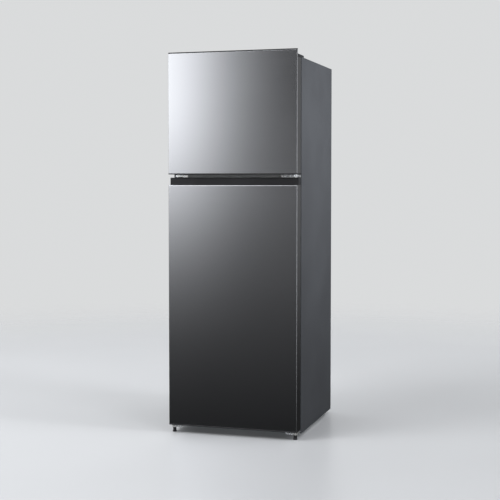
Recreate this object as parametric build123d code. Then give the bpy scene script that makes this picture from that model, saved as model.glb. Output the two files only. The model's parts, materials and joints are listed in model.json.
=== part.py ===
"""Top freezer refrigerator: steel cabinet, two hinged doors, liners, cooling system and fittings.

Row frame in millimetres: the origin is at floor level under the middle of the cabinet, +Z is up,
-Y is the front (door) side and +X is the hinge side. Depths are given as distances back from the
front face of the doors, and the block() helper turns them into Y.
"""

import os
from math import cos, pi, radians, sin

from build123d import *

# ---------------------------------------------------------------- driving dimensions
WIDTH = 595.0  # cabinet and doors
DEPTH = 650.0  # door face to the back edge of the side panels
CABINET_BOTTOM, CABINET_TOP = 18.0, 1672.0
DOOR_DEPTH = 62.0
GASKET_GAP = 12.0  # between door and cabinet
FRONT = DOOR_DEPTH + GASKET_GAP  # depth of the cabinet's front flange
SHEET = 1.0  # steel sheet
LINER = 2.0  # vacuum-formed plastic liner
HALF = WIDTH / 2

FRIDGE_DOOR_BOTTOM, FRIDGE_FACE_TOP, FRIDGE_DOOR_TOP = 36.0, 1115.0, 1148.0
FREEZER_DOOR_BOTTOM, FREEZER_SHELF_TOP, FREEZER_DOOR_TOP = 1162.0, 1670.0, 1702.0
CAP = 4.0  # thickness of a door end cap that shows outside the skin
LIP = 6.0  # thickness of the freezer door's upper lip
TOP_EDGE = 5.0  # height of the black strip along the top of the freezer door's face
DOOR_CORNER = 3.5  # outer radius of the door skins' folds

PIN_X, PIN_DEPTH, PIN_R = HALF - 15, 32.0, 4.0  # hinge axis of both doors
GRIP_FRONT, GRIP_BACK, GRIP_LOW = 4.0, 24.0, 1091.0  # finger trough behind the fridge door's face
FREEZER_GRIP = (-HALF + 30, PIN_X - 40, 9.0, 33.0, 18.0)  # x0, x1, front, back, height
BOSS_R = 9.0  # bosses of the door caps round the pins
RUNNING = 0.05  # radial clearance of a running fit

FRAME_INNER = HALF - 40  # half width between the steel front flanges
FRIDGE_X, FREEZER_X = 247.5, 237.5  # inner half widths of the compartments
FRIDGE_FLOOR, FRIDGE_CEILING = 92.0, 1118.0
FREEZER_FLOOR, FREEZER_CEILING = 1197.0, 1612.0
FRIDGE_BACK, FREEZER_BACK = 602.0, 590.0  # depths of the inner back walls
MULLION_LOW, MULLION_HIGH = 1128.0, 1185.0
BAY_FRONT, BAY_TOP = 460.0, 232.0  # compressor bay
HUMP_FRONT, HUMP_TOP = 424.0, 268.0  # liner step over the bay
BACK_PANEL_DEPTH = DEPTH - 2
SIDE_BEND = 1.5  # inner radius of the side panels' folds
DUCT_X, DUCT_FRONT, DUCT_BACK = 40.0, 579.5, 588.5  # air slot from the freezer down to the fridge
DRAIN_X, DRAIN_R = -70.0, 8.0
DRAIN_DEPTH_TOP, DRAIN_DEPTH_LOW = 560.0, 625.0  # under the coil, and behind the fridge liner
CONDENSER_POCKET = (140.0, 600.0, 330.0, 1600.0)  # depths and heights of the tube's space in the foam

SHELF_FRONT, SHELF_BACK, GLASS = 190.0, 562.0, 4.0
SHELF_HEIGHTS = (540.0, 730.0, 900.0)
CRISPER_COVER_Z = 330.0
FREEZER_SHELF_Z = 1400.0
SHELF_TRIM_FRONT = SHELF_FRONT - 12

COVER_DEPTH = 515.0  # front of the evaporator cover
FAN_Z, FAN_R, FAN_HUB_R = 1512.0, 50.0, 15.0
FAN_DEPTH_FRONT, FAN_DEPTH_BACK = 524.0, 544.0

FOOT_X, FOOT_DEPTH = PIN_X, PIN_DEPTH  # the feet stand straight under the hinge pins
FOOT_R, STUD_R = 9.5, 5.0
ROLLER_X, ROLLER_DEPTH, ROLLER_R = 262.0, 610.0, 13.0

COMPRESSOR_X, COMPRESSOR_DEPTH, COMPRESSOR_R = -70.0, 555.0, 72.0
COMPRESSOR_FOOT_Z = 34.0
COMPRESSOR_BOLTS = [(dx, dd) for dx in (-92, 92) for dd in (-48, 48)]

LINER_INSET = 3.0  # door liners' edges, in from the door's sides
DYKE_DEPTH = 90.0  # how far the door liners reach into the compartments
RIB_DEPTH, RIB = 150.0, 20.0  # bin-carrying ribs of the door liners
BIN_BACK, BIN_FRONT = DYKE_DEPTH + 1, 162.0
FRIDGE_DYKE_X, FREEZER_DYKE_X = 225.0, 213.0
FRIDGE_DYKE_Z = (104.0, 1104.0)
FREEZER_DYKE_Z = (1210.0, 1598.0)
FRIDGE_RIB_LOW = 336.0
FRIDGE_BINS = {"bottle": (352.0, 130.0), "middle": (640.0, 105.0), "top": (880.0, 95.0)}
FREEZER_BINS = {"lower": (1228.0, 90.0), "upper": (1412.0, 90.0)}

CRISPER_X, CRISPER_FRONT, CRISPER_BACK = 228.0, 186.0, 418.0
CRISPER_LOW, CRISPER_HIGH, CRISPER_WALL = 96.0, 304.0, 2.5

KNOB_X, KNOB_Z, KNOB_R = 62.0, 1097.0, 16.5
KNOB_HOUSING_FRONT = 205.0

GLAND_X, GLAND_Z, GLAND_R, GLAND_BORE = 215.0, 70.0, 9.0, 4.5


# ---------------------------------------------------------------- helpers
def block(x0, x1, d0, d1, z0, z1):
    """Box between two corners; d is the depth behind the door faces."""
    middle = Pos((x0 + x1) / 2, (d0 + d1) / 2 - DEPTH / 2, (z0 + z1) / 2)
    return middle * Box(abs(x1 - x0), abs(d1 - d0), abs(z1 - z0))


def at(x, depth, z):
    return Pos(x, depth - DEPTH / 2, z)


def post(x, depth, z0, z1, radius):
    """Upright cylinder."""
    return at(x, depth, (z0 + z1) / 2) * Cylinder(radius, z1 - z0)


def spindle(x, z, d0, d1, radius):
    """Cylinder along the depth."""
    return at(x, (d0 + d1) / 2, z) * Rot(90, 0, 0) * Cylinder(radius, d1 - d0)


def axle(depth, z, x0, x1, radius):
    """Cylinder along the width."""
    return at((x0 + x1) / 2, depth, z) * Rot(0, 90, 0) * Cylinder(radius, x1 - x0)


def vertex_at(face, x, y):
    """The face's vertex nearest to a point of its own plane."""
    return min(face.vertices(), key=lambda v: (v.X - x) ** 2 + (v.Y - y) ** 2)


def plan_extrude(points, z0, z1, radii=None):
    """Upright prism from (x, depth) points, with optional corner radii by index."""
    outline = [(x, d - DEPTH / 2) for x, d in points]
    face = make_face(Polyline(*outline, close=True))
    for index, radius in (radii or {}).items():
        face = fillet(vertex_at(face, *outline[index]), radius)
    return Pos(0, 0, z0) * extrude(face, z1 - z0)


def side_extrude(points, x0, x1, radii=None):
    """Prism along X from (depth, z) points, with optional corner radii by index."""
    outline = [(d - DEPTH / 2, z) for d, z in points]
    face = make_face(Polyline(*outline, close=True))
    for index, radius in (radii or {}).items():
        face = fillet(vertex_at(face, *outline[index]), radius)
    plane = Plane(origin=(x0, 0, 0), x_dir=(0, 1, 0), z_dir=(1, 0, 0))
    return extrude(plane * face, x1 - x0)


def round_upright(shape, radius):
    return fillet(shape.edges().filter_by(Axis.Z), radius)


def round_all(shape, radius):
    return fillet(shape.edges(), radius)


def tub(x0, x1, d0, d1, z0, z1, wall, corner):
    """Open-topped box with rounded upright corners."""
    outer = round_upright(block(x0, x1, d0, d1, z0, z1), corner)
    room = block(x0 + wall, x1 - wall, d0 + wall, d1 - wall, z0 + wall, z1 + wall)
    return outer - round_upright(room, corner - wall)


def mirrored(shape):
    return mirror(shape, about=Plane.YZ)


def pipe(points, radius, bend):
    """Round tube through (x, depth, z) points with one bend radius."""
    route = FilletPolyline(*[(x, d - DEPTH / 2, z) for x, d, z in points], radius=bend)
    section = Plane(origin=route @ 0, z_dir=route % 0) * Circle(radius)
    return sweep(section, path=route)


def group(shapes):
    return Compound(children=[s for shape in shapes for s in shape.solids()])


def screw_front(x, depth, z, radius=4.5, head=3.0):
    """Pan-head screw whose head stands in front of depth, with a cross recess."""
    head_solid = spindle(x, z, depth - head, depth, radius)
    head_solid = fillet(head_solid.edges().sort_by(Axis.Y)[0], head * 0.45)
    recess = radius * 0.55
    cross = block(x - recess, x + recess, depth - head, depth - head / 2, z - 0.5, z + 0.5)
    cross += block(x - 0.5, x + 0.5, depth - head, depth - head / 2, z - recess, z + recess)
    return head_solid - cross


def screw_back(x, depth, z, radius=4.0, head=1.5):
    """Washer-head screw whose head stands behind depth."""
    head_solid = spindle(x, z, depth, depth + head, radius)
    slot = block(x - radius * 0.6, x + radius * 0.6, depth + head / 2, depth + head, z - 0.5, z + 0.5)
    return head_solid - slot


def screw_top(x, depth, z, radius=5.0, head=3.5):
    """Hexagon-head screw standing on z."""
    return at(x, depth, z) * extrude(RegularPolygon(radius, 6), head)


# ---------------------------------------------------------------- cabinet shell
def side_panel():
    """Right-hand side panel with its front and rear flanges."""
    points = [
        (HALF, FRONT), (HALF, DEPTH), (HALF - 15, DEPTH), (HALF - 15, DEPTH - SHEET),
        (HALF - SHEET, DEPTH - SHEET), (HALF - SHEET, FRONT + SHEET),
        (FRAME_INNER, FRONT + SHEET), (FRAME_INNER, FRONT),
    ]
    outer = SIDE_BEND + SHEET
    return plan_extrude(points, CABINET_BOTTOM, CABINET_TOP, {0: outer, 1: outer, 4: SIDE_BEND, 5: SIDE_BEND})


def top_panel():
    inner = HALF - SHEET - SIDE_BEND
    panel = block(-inner, inner, FRONT + SHEET, BACK_PANEL_DEPTH, CABINET_TOP - SHEET, CABINET_TOP)
    seam_front, seam_back = FRONT + SHEET + SIDE_BEND, DEPTH - SHEET - SIDE_BEND
    panel += block(SHEET - HALF, HALF - SHEET, seam_front, seam_back, CABINET_TOP - SHEET, CABINET_TOP)
    panel += block(-FRAME_INNER, FRAME_INNER, FRONT, FRONT + SHEET, FREEZER_CEILING + 20, CABINET_TOP)
    panel += block(-inner, inner, BACK_PANEL_DEPTH, BACK_PANEL_DEPTH + SHEET, CABINET_TOP - 14, CABINET_TOP)
    return panel


def back_panel():
    inner = HALF - SHEET - SIDE_BEND
    low, high = BAY_TOP + SHEET, CABINET_TOP - 14
    panel = block(-inner, inner, BACK_PANEL_DEPTH - SHEET, BACK_PANEL_DEPTH, low, high)
    for x in (-200, -100, 0, 100, 200):
        rib = block(x - 9, x + 9, BACK_PANEL_DEPTH - 0.5, BACK_PANEL_DEPTH + 1.5, 300, 1600)
        panel += fillet(rib.edges().filter_by(Axis.Y), 8)
    return panel


def base_pan():
    """Bottom sheet, stepped up over the compressor bay."""
    inner = HALF - SHEET - SIDE_BEND
    low, step, top = CABINET_BOTTOM, BAY_FRONT, BAY_TOP
    points = [
        (FRONT + SHEET, low), (step, low), (step, top), (BACK_PANEL_DEPTH - SHEET, top),
        (BACK_PANEL_DEPTH - SHEET, top + SHEET), (step - SHEET, top + SHEET),
        (step - SHEET, low + SHEET), (FRONT + SHEET, low + SHEET),
    ]
    pan = side_extrude(points, -inner, inner)
    return pan - post(DRAIN_X, DRAIN_DEPTH_LOW, top - 1, top + 2, DRAIN_R)


def front_rail():
    """Steel cross rail under the lower opening."""
    return block(-FRAME_INNER, FRAME_INNER, FRONT, FRONT + SHEET, CABINET_BOTTOM, FRIDGE_FLOOR - 12)


def compressor_tray():
    """Cross plate that carries the compressor and the rear rollers."""
    inner = HALF - SHEET - SIDE_BEND
    tray = block(-inner, inner, BAY_FRONT + 4, BACK_PANEL_DEPTH - 4, CABINET_BOTTOM, CABINET_BOTTOM + 2)
    tray += block(-inner, inner, BAY_FRONT + 4, BAY_FRONT + 6, CABINET_BOTTOM, CABINET_BOTTOM + 12)
    wheel_front, wheel_back = ROLLER_DEPTH - 17, ROLLER_DEPTH + 17
    for side in (-1, 1):
        tray -= block(side * (ROLLER_X - 15), side * (ROLLER_X + 15), wheel_front, wheel_back, 0, 40)
    for dx, dd in COMPRESSOR_BOLTS:
        tray -= post(COMPRESSOR_X + dx, COMPRESSOR_DEPTH + dd, 0, 40, 4)
    return tray


def mullion():
    """Steel cross rail between the two openings."""
    rail = block(-FRAME_INNER, FRAME_INNER, FRONT, FRONT + SHEET, MULLION_LOW, MULLION_HIGH)
    for z in (MULLION_LOW, MULLION_HIGH - SHEET):
        rail += block(-FRAME_INNER, FRAME_INNER, FRONT, FRONT + 22, z, z + SHEET)
    return rail


# ---------------------------------------------------------------- liners and foam
def fridge_liner():
    x, w = FRIDGE_X, LINER
    outer = block(-x - w, x + w, FRONT, FRIDGE_BACK + w, HUMP_TOP - w, FRIDGE_CEILING + w)
    outer += block(-x - w, x + w, FRONT, HUMP_FRONT + w, FRIDGE_FLOOR - w, HUMP_TOP)
    inner = round_all(block(-x, x, FRONT - 40, FRIDGE_BACK, HUMP_TOP, FRIDGE_CEILING), 12)
    inner += round_all(block(-x, x, FRONT - 40, HUMP_FRONT, FRIDGE_FLOOR, HUMP_TOP + 60), 12)
    flange = block(-FRAME_INNER, FRAME_INNER, FRONT, FRONT + w, FRIDGE_FLOOR - 12, MULLION_LOW)
    liner = (outer + flange) - inner
    for z in (*SHELF_HEIGHTS, CRISPER_COVER_Z):
        for side in (-1, 1):
            liner += block(side * (x - 8), side * (x + 1), SHELF_FRONT - 4, SHELF_BACK, z - 6, z)
    for side in (-1, 1):  # crisper runners
        liner += block(side * (CRISPER_X + 4), side * (x + 1), CRISPER_FRONT + 3, CRISPER_BACK - 2,
                       CRISPER_HIGH - 12, CRISPER_HIGH - 4)
    return liner - duct_slot(FRIDGE_CEILING - 1, FRIDGE_CEILING + w + 1)


def freezer_liner():
    x, w = FREEZER_X, LINER
    outer = block(-x - w, x + w, FRONT, FREEZER_BACK + w, FREEZER_FLOOR - w, FREEZER_CEILING + w)
    inner = round_all(block(-x, x, FRONT - 40, FREEZER_BACK, FREEZER_FLOOR, FREEZER_CEILING), 12)
    flange = block(-FRAME_INNER, FRAME_INNER, FRONT, FRONT + w, MULLION_HIGH, FREEZER_CEILING + 20)
    liner = (outer + flange) - inner
    z = FREEZER_SHELF_Z
    for side in (-1, 1):
        liner += block(side * (x - 8), side * (x + 1), SHELF_FRONT - 4, COVER_DEPTH - 15, z - 6, z)
    liner -= duct_slot(FREEZER_FLOOR - w - 1, FREEZER_FLOOR + 13)
    return liner - post(DRAIN_X, DRAIN_DEPTH_TOP, FREEZER_FLOOR - w - 1, FREEZER_FLOOR + 1, DRAIN_R)


def duct_slot(z0, z1):
    return block(-DUCT_X, DUCT_X, DUCT_FRONT, DUCT_BACK, z0, z1)


def cabinet_foam():
    inner = HALF - SHEET
    low, high = CABINET_BOTTOM + SHEET, CABINET_TOP - SHEET
    foam = block(-inner, inner, FRONT + SHEET, BACK_PANEL_DEPTH - SHEET, low, high)
    foam -= block(-inner, inner, BAY_FRONT - SHEET, DEPTH, 0, BAY_TOP + SHEET)
    w = LINER
    foam -= block(-FRIDGE_X - w, FRIDGE_X + w, 0, FRIDGE_BACK + w, HUMP_TOP - w, FRIDGE_CEILING + w)
    foam -= block(-FRIDGE_X - w, FRIDGE_X + w, 0, HUMP_FRONT + w, FRIDGE_FLOOR - w, HUMP_TOP)
    foam -= block(-FREEZER_X - w, FREEZER_X + w, 0, FREEZER_BACK + w, FREEZER_FLOOR - w, FREEZER_CEILING + w)
    foam -= block(-FRAME_INNER, FRAME_INNER, 0, FRONT + w, FRIDGE_FLOOR - 12, MULLION_LOW)
    foam -= block(-FRAME_INNER, FRAME_INNER, 0, FRONT + w, MULLION_HIGH, FREEZER_CEILING + 20)
    foam -= mullion()
    for side in (-1, 1):
        foam -= block(side * (inner - 7), side * (inner + 1), *CONDENSER_POCKET)
    right = side_panel()
    foam = foam - duct_slot(FRIDGE_CEILING, FREEZER_FLOOR) - drain_route(DRAIN_R) - right - mirrored(right)
    return foam


def drain_route(radius):
    low, turn = HUMP_TOP - 50, FREEZER_FLOOR - 30
    top, back = DRAIN_DEPTH_TOP, DRAIN_DEPTH_LOW
    route = ((top, FREEZER_FLOOR), (top, turn), (back, turn - 20), (back, low))
    return pipe([(DRAIN_X, depth, z) for depth, z in route], radius, 16)


def drain_tube():
    """Melt-water drain from the coil space, through the rear foam, to the tray in the bay."""
    return drain_route(DRAIN_R) - drain_route(DRAIN_R - 1.5)


def condenser_tubes():
    """Serpentine hot-wall tube behind each side panel."""
    x, radius, runs, pitch = HALF - 4.6, 2.4, 6, 78.0
    low, high, first = 360.0, 1570.0, 170.0
    points = []
    for i in range(runs):
        ends = (low, high) if i % 2 == 0 else (high, low)
        points += [(x, first + i * pitch, z) for z in ends]
    right = pipe(points, radius, 30)
    return group([right, mirrored(right)])


# ---------------------------------------------------------------- cooling system
def evaporator():
    """Finned coil: plate fins on a serpentine of straight tubes with return bends."""
    half, d0, d1, z0, z1 = 175.0, 532.0, 578.0, 1238.0, 1424.0
    coil = None
    fins = 22
    for i in range(fins):
        x = -half + 12 + i * (2 * half - 24) / (fins - 1)
        fin = block(x - 0.5, x + 0.5, d0, d1, z0, z1)
        coil = fin if coil is None else coil + fin
    rows = 6
    for column in (d0 + 12, d1 - 12):
        for row in range(rows):
            z = z0 + 16 + row * (z1 - z0 - 32) / (rows - 1)
            coil += axle(column, z, -half, half, 4)
    for side in (-1, 1):
        for column in (d0 + 12, d1 - 12):
            for row in range(0 if side > 0 else 1, rows - 1, 2):
                za = z0 + 16 + row * (z1 - z0 - 32) / (rows - 1)
                zb = z0 + 16 + (row + 1) * (z1 - z0 - 32) / (rows - 1)
                coil += post(side * half, column, za - 4, zb + 4, 4)
    return coil


def evaporator_cover():
    """Inner back wall of the freezer with the fan grille, air slots and damper slot."""
    x = FREEZER_X - 1
    cover = block(-x, x, COVER_DEPTH, COVER_DEPTH + 3, FREEZER_FLOOR + 13, FREEZER_CEILING - 13)
    cover = fillet(cover.edges().filter_by(Axis.Y), 8)
    bezel = spindle(0, FAN_Z, COVER_DEPTH - 6, COVER_DEPTH + 1, FAN_R + 8)
    cover += bezel
    cover -= spindle(0, FAN_Z, COVER_DEPTH - 7, COVER_DEPTH + 4, FAN_R)
    for ring in (14, 26, 38):
        grille = spindle(0, FAN_Z, COVER_DEPTH - 5, COVER_DEPTH - 2, ring + 1.5)
        cover += grille - spindle(0, FAN_Z, COVER_DEPTH - 6, COVER_DEPTH - 1, ring - 1.5)
    cover += block(-FAN_R - 1, FAN_R + 1, COVER_DEPTH - 5, COVER_DEPTH - 2, FAN_Z - 1.5, FAN_Z + 1.5)
    cover += block(-1.5, 1.5, COVER_DEPTH - 5, COVER_DEPTH - 2, FAN_Z - FAN_R - 1, FAN_Z + FAN_R + 1)
    for i in range(11):  # return-air slots along the bottom
        x0 = -200 + i * 36
        if abs(x0 + 10) > 48:
            cover -= block(x0, x0 + 20, COVER_DEPTH - 1, COVER_DEPTH + 4, 1216, 1222)
            cover -= block(x0, x0 + 20, COVER_DEPTH - 1, COVER_DEPTH + 4, 1230, 1236)
    cover -= block(-38, 38, COVER_DEPTH - 1, COVER_DEPTH + 4, 1222, 1230)
    return cover


def damper_slider():
    """Sliding thumb tab that sets how much air goes down to the fridge."""
    tab = block(-12, 12, COVER_DEPTH - 9, COVER_DEPTH - 0.5, 1217, 1235)
    tab = fillet(tab.edges().filter_by(Axis.Y), 4)
    for x in (-4, 0, 4):
        tab += block(x - 0.8, x + 0.8, COVER_DEPTH - 10.5, COVER_DEPTH - 8, 1220, 1232)
    tab += block(-5, 5, COVER_DEPTH - 1, COVER_DEPTH + 6, 1222.6, 1229.4)
    return tab


def fan_motor():
    body = spindle(0, FAN_Z, FAN_DEPTH_BACK + 4, FAN_DEPTH_BACK + 30, 27)
    body = fillet(body.edges(), 4)
    body += spindle(0, FAN_Z, FAN_DEPTH_FRONT + 4, FAN_DEPTH_BACK + 5, 3)
    for angle in (45, 135, 225, 315):  # bracket arms to the back wall
        a = radians(angle)
        body += at(36 * cos(a), FAN_DEPTH_BACK + 26, FAN_Z + 36 * sin(a)) * Rot(0, -angle, 0) * Box(30, 5, 9)
        body += spindle(47 * cos(a), FAN_Z + 47 * sin(a), FAN_DEPTH_BACK + 23.5, FREEZER_BACK, 5)
    return body


def fan_blade():
    """Five-bladed axial fan on a domed hub, bored for the motor shaft."""
    hub = spindle(0, FAN_Z, FAN_DEPTH_FRONT, FAN_DEPTH_BACK, FAN_HUB_R)
    hub = fillet(hub.edges().sort_by(Axis.Y)[0], 5)
    depth = (FAN_DEPTH_FRONT + FAN_DEPTH_BACK) / 2
    fan = hub
    for i in range(5):
        angle = 360 * i / 5
        blade = Box(33, 1.6, 24)
        blade = fillet(blade.edges().filter_by(Axis.Y).group_by(Axis.X)[-1], 7)
        fan += at(0, depth, FAN_Z) * Rot(0, angle, 0) * Pos(FAN_HUB_R + 14.5, 0, 0) * Rot(32, 0, 0) * blade
    fan -= spindle(0, FAN_Z, FAN_DEPTH_FRONT + 3.5, FAN_DEPTH_BACK + 1, 3 + RUNNING)
    return fan


def defrost_heater():
    """Sheathed rod heater under the coil, with its two end seals."""
    rod = axle(555, 1222, -170, 170, 4)
    for side in (-1, 1):
        rod += axle(555, 1222, min(side * 158, side * 176), max(side * 158, side * 176), 7)
    return rod


def compressor():
    """Welded hermetic shell with its foot plate and stub pipes."""
    x, d, r, z = COMPRESSOR_X, COMPRESSOR_DEPTH, COMPRESSOR_R, COMPRESSOR_FOOT_Z
    shell = post(x, d, z + 6, z + 150, r)
    shell = fillet(shell.edges().sort_by(Axis.Z)[-1], 44)
    shell = fillet(shell.edges().sort_by(Axis.Z)[0], 18)
    shell += post(x, d, z + 74, z + 80, r + 3)
    plate = block(x - 104, x + 104, d - 60, d + 60, z, z + 3)
    plate = fillet(plate.edges().filter_by(Axis.Z), 14)
    for dx, dd in COMPRESSOR_BOLTS:
        plate -= post(x + dx, d + dd, z - 1, z + 4, 6)
    shell += plate + post(x, d, z, z + 12, r - 20)
    shell += axle(d - 30, z + 100, x + 40, x + 82, 5)  # discharge stub
    shell += axle(d + 30, z + 104, x + 40, x + 84, 5)  # suction stub
    return shell


def compressor_grommets():
    """Rubber feet with their sleeves through the plate."""
    feet = []
    for dx, dd in COMPRESSOR_BOLTS:
        x, d = COMPRESSOR_X + dx, COMPRESSOR_DEPTH + dd
        low = CABINET_BOTTOM + 2
        foot = post(x, d, low, COMPRESSOR_FOOT_Z, 12) + post(x, d, low, COMPRESSOR_FOOT_Z + 3, 5.9)
        foot += post(x, d, COMPRESSOR_FOOT_Z + 3, COMPRESSOR_FOOT_Z + 7, 9)
        feet.append(foot)
    return group(feet)


def relay_box():
    """Starter relay housing clipped to the compressor's left side."""
    x, d, z = COMPRESSOR_X, COMPRESSOR_DEPTH, COMPRESSOR_FOOT_Z
    box = round_all(block(x - COMPRESSOR_R - 34, x - COMPRESSOR_R + 18, d - 26, d + 26, z + 40, z + 112), 4)
    hollow = post(x, d, z + 6, z + 150, COMPRESSOR_R + 0.2) + post(x, d, z + 73, z + 81, COMPRESSOR_R + 3.2)
    return box - hollow


def refrigerant_tubes():
    """Copper lines of the bay and the filter drier between them."""
    x, d, z = COMPRESSOR_X, COMPRESSOR_DEPTH, COMPRESSOR_FOOT_Z
    discharge = pipe([(x + 82, d - 30, z + 100), (x + 150, d - 30, z + 100), (x + 150, d - 30, 40),
                      (HALF - 60, d - 30, 40), (HALF - 60, d - 30, BAY_TOP)], 3, 14)
    suction = pipe([(x + 84, d + 30, z + 104), (x + 116, d + 30, z + 104), (x + 116, d + 30, BAY_TOP)], 4, 16)
    body = post(170, 610, 90, 180, 9)
    drier = fillet(body.edges(), 6) + post(170, 610, 176, BAY_TOP, 2.5) + post(170, 610, 60, 94, 2.5)
    return group([discharge, suction, drier])


def drip_pan():
    """Evaporating tray that catches the defrost water above the compressor."""
    top = COMPRESSOR_FOOT_Z + 150.5
    return tub(COMPRESSOR_X - 90, COMPRESSOR_X + 82, 484, 636, top, top + 26, 2, 14)


def compressor_cover():
    """Louvred rear cover of the bay."""
    x, d0, d1 = HALF - 16, BACK_PANEL_DEPTH - 1, BACK_PANEL_DEPTH + 0.5
    cover = fillet(block(-x, x, d0, d1, CABINET_BOTTOM + 4, BAY_TOP - 1).edges().filter_by(Axis.Y), 6)
    for column in range(5):
        for row in range(9):
            x0, z0 = -234 + column * 96, 50 + row * 18
            if abs(x0 + 35 - GLAND_X) < 48 and abs(z0 - GLAND_Z) < 26:
                continue
            cover -= block(x0, x0 + 76, d0 - 1, d1 + 1, z0, z0 + 6)
    cover -= spindle(GLAND_X, GLAND_Z, d0 - 1, d1 + 1, GLAND_R)
    return cover


def cord_gland():
    """Bush in the rear cover that the supply cord passes through."""
    d0, d1 = BACK_PANEL_DEPTH - 10, DEPTH
    gland = spindle(GLAND_X, GLAND_Z, d0, d1, GLAND_R)
    gland += spindle(GLAND_X, GLAND_Z, BACK_PANEL_DEPTH + 0.5, d1, GLAND_R + 4)
    gland += spindle(GLAND_X, GLAND_Z, BACK_PANEL_DEPTH - 4, BACK_PANEL_DEPTH - 1, GLAND_R + 2.5)
    return gland - spindle(GLAND_X, GLAND_Z, d0 - 1, d1 + 1, GLAND_BORE)


# ---------------------------------------------------------------- fridge and freezer fittings
def shelf_pane(half, z, back=SHELF_BACK):
    return fillet(block(-half, half, SHELF_FRONT, back, z, z + GLASS).edges().filter_by(Axis.Z), 2)


def glass_shelves():
    """Three shelf panes and the pane that covers the crisper."""
    return group([shelf_pane(FRIDGE_X - 3, z) for z in (*SHELF_HEIGHTS, CRISPER_COVER_Z)])


def freezer_shelf():
    return shelf_pane(FREEZER_X - 3, FREEZER_SHELF_Z, COVER_DEPTH - 12)


def shelf_trim(half, z, back):
    """Front and rear edge mouldings of one glass shelf."""
    pane = block(-half - 5, half + 5, SHELF_FRONT, back, z - 1, z + GLASS)
    front_points = [
        (SHELF_TRIM_FRONT, z), (SHELF_FRONT + 7, z), (SHELF_FRONT + 7, z + GLASS + 2),
        (SHELF_TRIM_FRONT, z + GLASS + 5),
    ]
    front = side_extrude(front_points, -half, half, {3: 3, 0: 2})
    rear = block(-half, half, back - 8, back + 8, z, z + GLASS + 8)
    rear = fillet(rear.edges().filter_by(Axis.X).group_by(Axis.Z)[-1], 2)
    return [front - pane, rear - pane]


def shelf_trims():
    parts = []
    for z in (*SHELF_HEIGHTS, CRISPER_COVER_Z):
        parts += shelf_trim(FRIDGE_X - 3, z, SHELF_BACK)
    parts += shelf_trim(FREEZER_X - 3, FREEZER_SHELF_Z, COVER_DEPTH - 12)
    return group(parts)


def crisper_drawer():
    """Vegetable drawer hanging by its rim on the liner's runners."""
    x, wall = CRISPER_X, CRISPER_WALL
    drawer = tub(-x, x, CRISPER_FRONT, CRISPER_BACK, CRISPER_LOW, CRISPER_HIGH, wall, 12)
    rim_z = CRISPER_HIGH - 3.5
    rim = block(-x - 12, x + 12, CRISPER_FRONT + 6, CRISPER_BACK, rim_z, CRISPER_HIGH)
    rim -= block(-x + 1, x - 1, CRISPER_FRONT, CRISPER_BACK + 1, rim_z - 1, CRISPER_HIGH + 1)
    drawer += rim
    front = block(-x - 8, x + 8, CRISPER_FRONT - 4, CRISPER_FRONT + 2, CRISPER_LOW, CRISPER_HIGH + 12)
    front = fillet(front.edges().filter_by(Axis.Y), 8)
    grip = block(-80, 80, CRISPER_FRONT - 14, CRISPER_FRONT - 3, CRISPER_HIGH - 22, CRISPER_HIGH - 16)
    grip += block(-80, 80, CRISPER_FRONT - 14, CRISPER_FRONT - 11, CRISPER_HIGH - 34, CRISPER_HIGH - 16)
    return drawer + front + grip


def air_duct_cover():
    """Moulded duct on the fridge back wall with air outlets above each shelf."""
    d0 = FRIDGE_BACK - 26
    top = FRIDGE_CEILING
    duct = block(-92, 92, d0, FRIDGE_BACK, 300, top)
    duct = fillet(duct.edges().filter_by(Axis.Z).group_by(Axis.Y)[0], 10)
    duct -= block(-84, 84, d0 + 3, FRIDGE_BACK + 1, 306, top + 1)
    duct -= block(-93, 93, FRIDGE_BACK - 12, FRIDGE_BACK + 1, top - 12, top + 1)
    for z in (1010, 840, 650, 440):
        for side in (-1, 1):
            for i in range(3):
                x0 = side * (34 + 14 * i)
                duct -= block(x0 - 4, x0 + 4, d0 - 1, d0 + 4, z, z + 34)
    return duct


def control_housing():
    """Ceiling box that holds the temperature dial and the lamp."""
    front, back = KNOB_HOUSING_FRONT, 345.0
    low = KNOB_Z - KNOB_R - 1
    box = block(-112, 112, front, back, low, FRIDGE_CEILING)
    box = fillet(box.edges().filter_by(Axis.Z), 10)
    box -= block(-92, 24, front + 18, back - 12, low - 1, low + 10)
    box -= spindle(KNOB_X, KNOB_Z, front - 1, front + 14, 3 + RUNNING)
    for turn in (-120, -100, -80, 80, 100, 120):  # dial graduation ribs beside the knob
        mark = Pos(0, 0, 22) * Box(1.2, 1, 4)
        box += at(KNOB_X, front - 0.4, KNOB_Z) * Rot(0, turn, 0) * mark
    return box


def lamp_cover():
    low = KNOB_Z - KNOB_R - 1
    lens = block(-91, 23, KNOB_HOUSING_FRONT + 19, 332, low - 5, low + 9)
    lens = fillet(lens.edges().filter_by(Axis.Z), 8)
    lens = fillet(lens.faces().sort_by(Axis.Z)[0].edges(), 3)
    return lens - block(-88, 20, KNOB_HOUSING_FRONT + 22, 329, low - 2, low + 10)


def thermostat_knob():
    """Temperature dial with its grip bar and shaft."""
    front = KNOB_HOUSING_FRONT
    knob = spindle(KNOB_X, KNOB_Z, front - 12, front - 1.2, KNOB_R)
    knob = fillet(knob.edges().sort_by(Axis.Y)[0], 2)
    bar = block(KNOB_X - 3, KNOB_X + 3, front - 20, front - 11, KNOB_Z - KNOB_R + 1.5, KNOB_Z + KNOB_R - 1.5)
    knob += fillet(bar.edges().filter_by(Axis.Z), 1.5)
    knob += spindle(KNOB_X, KNOB_Z, front - 2, front + 12, 3)
    return knob


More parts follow.
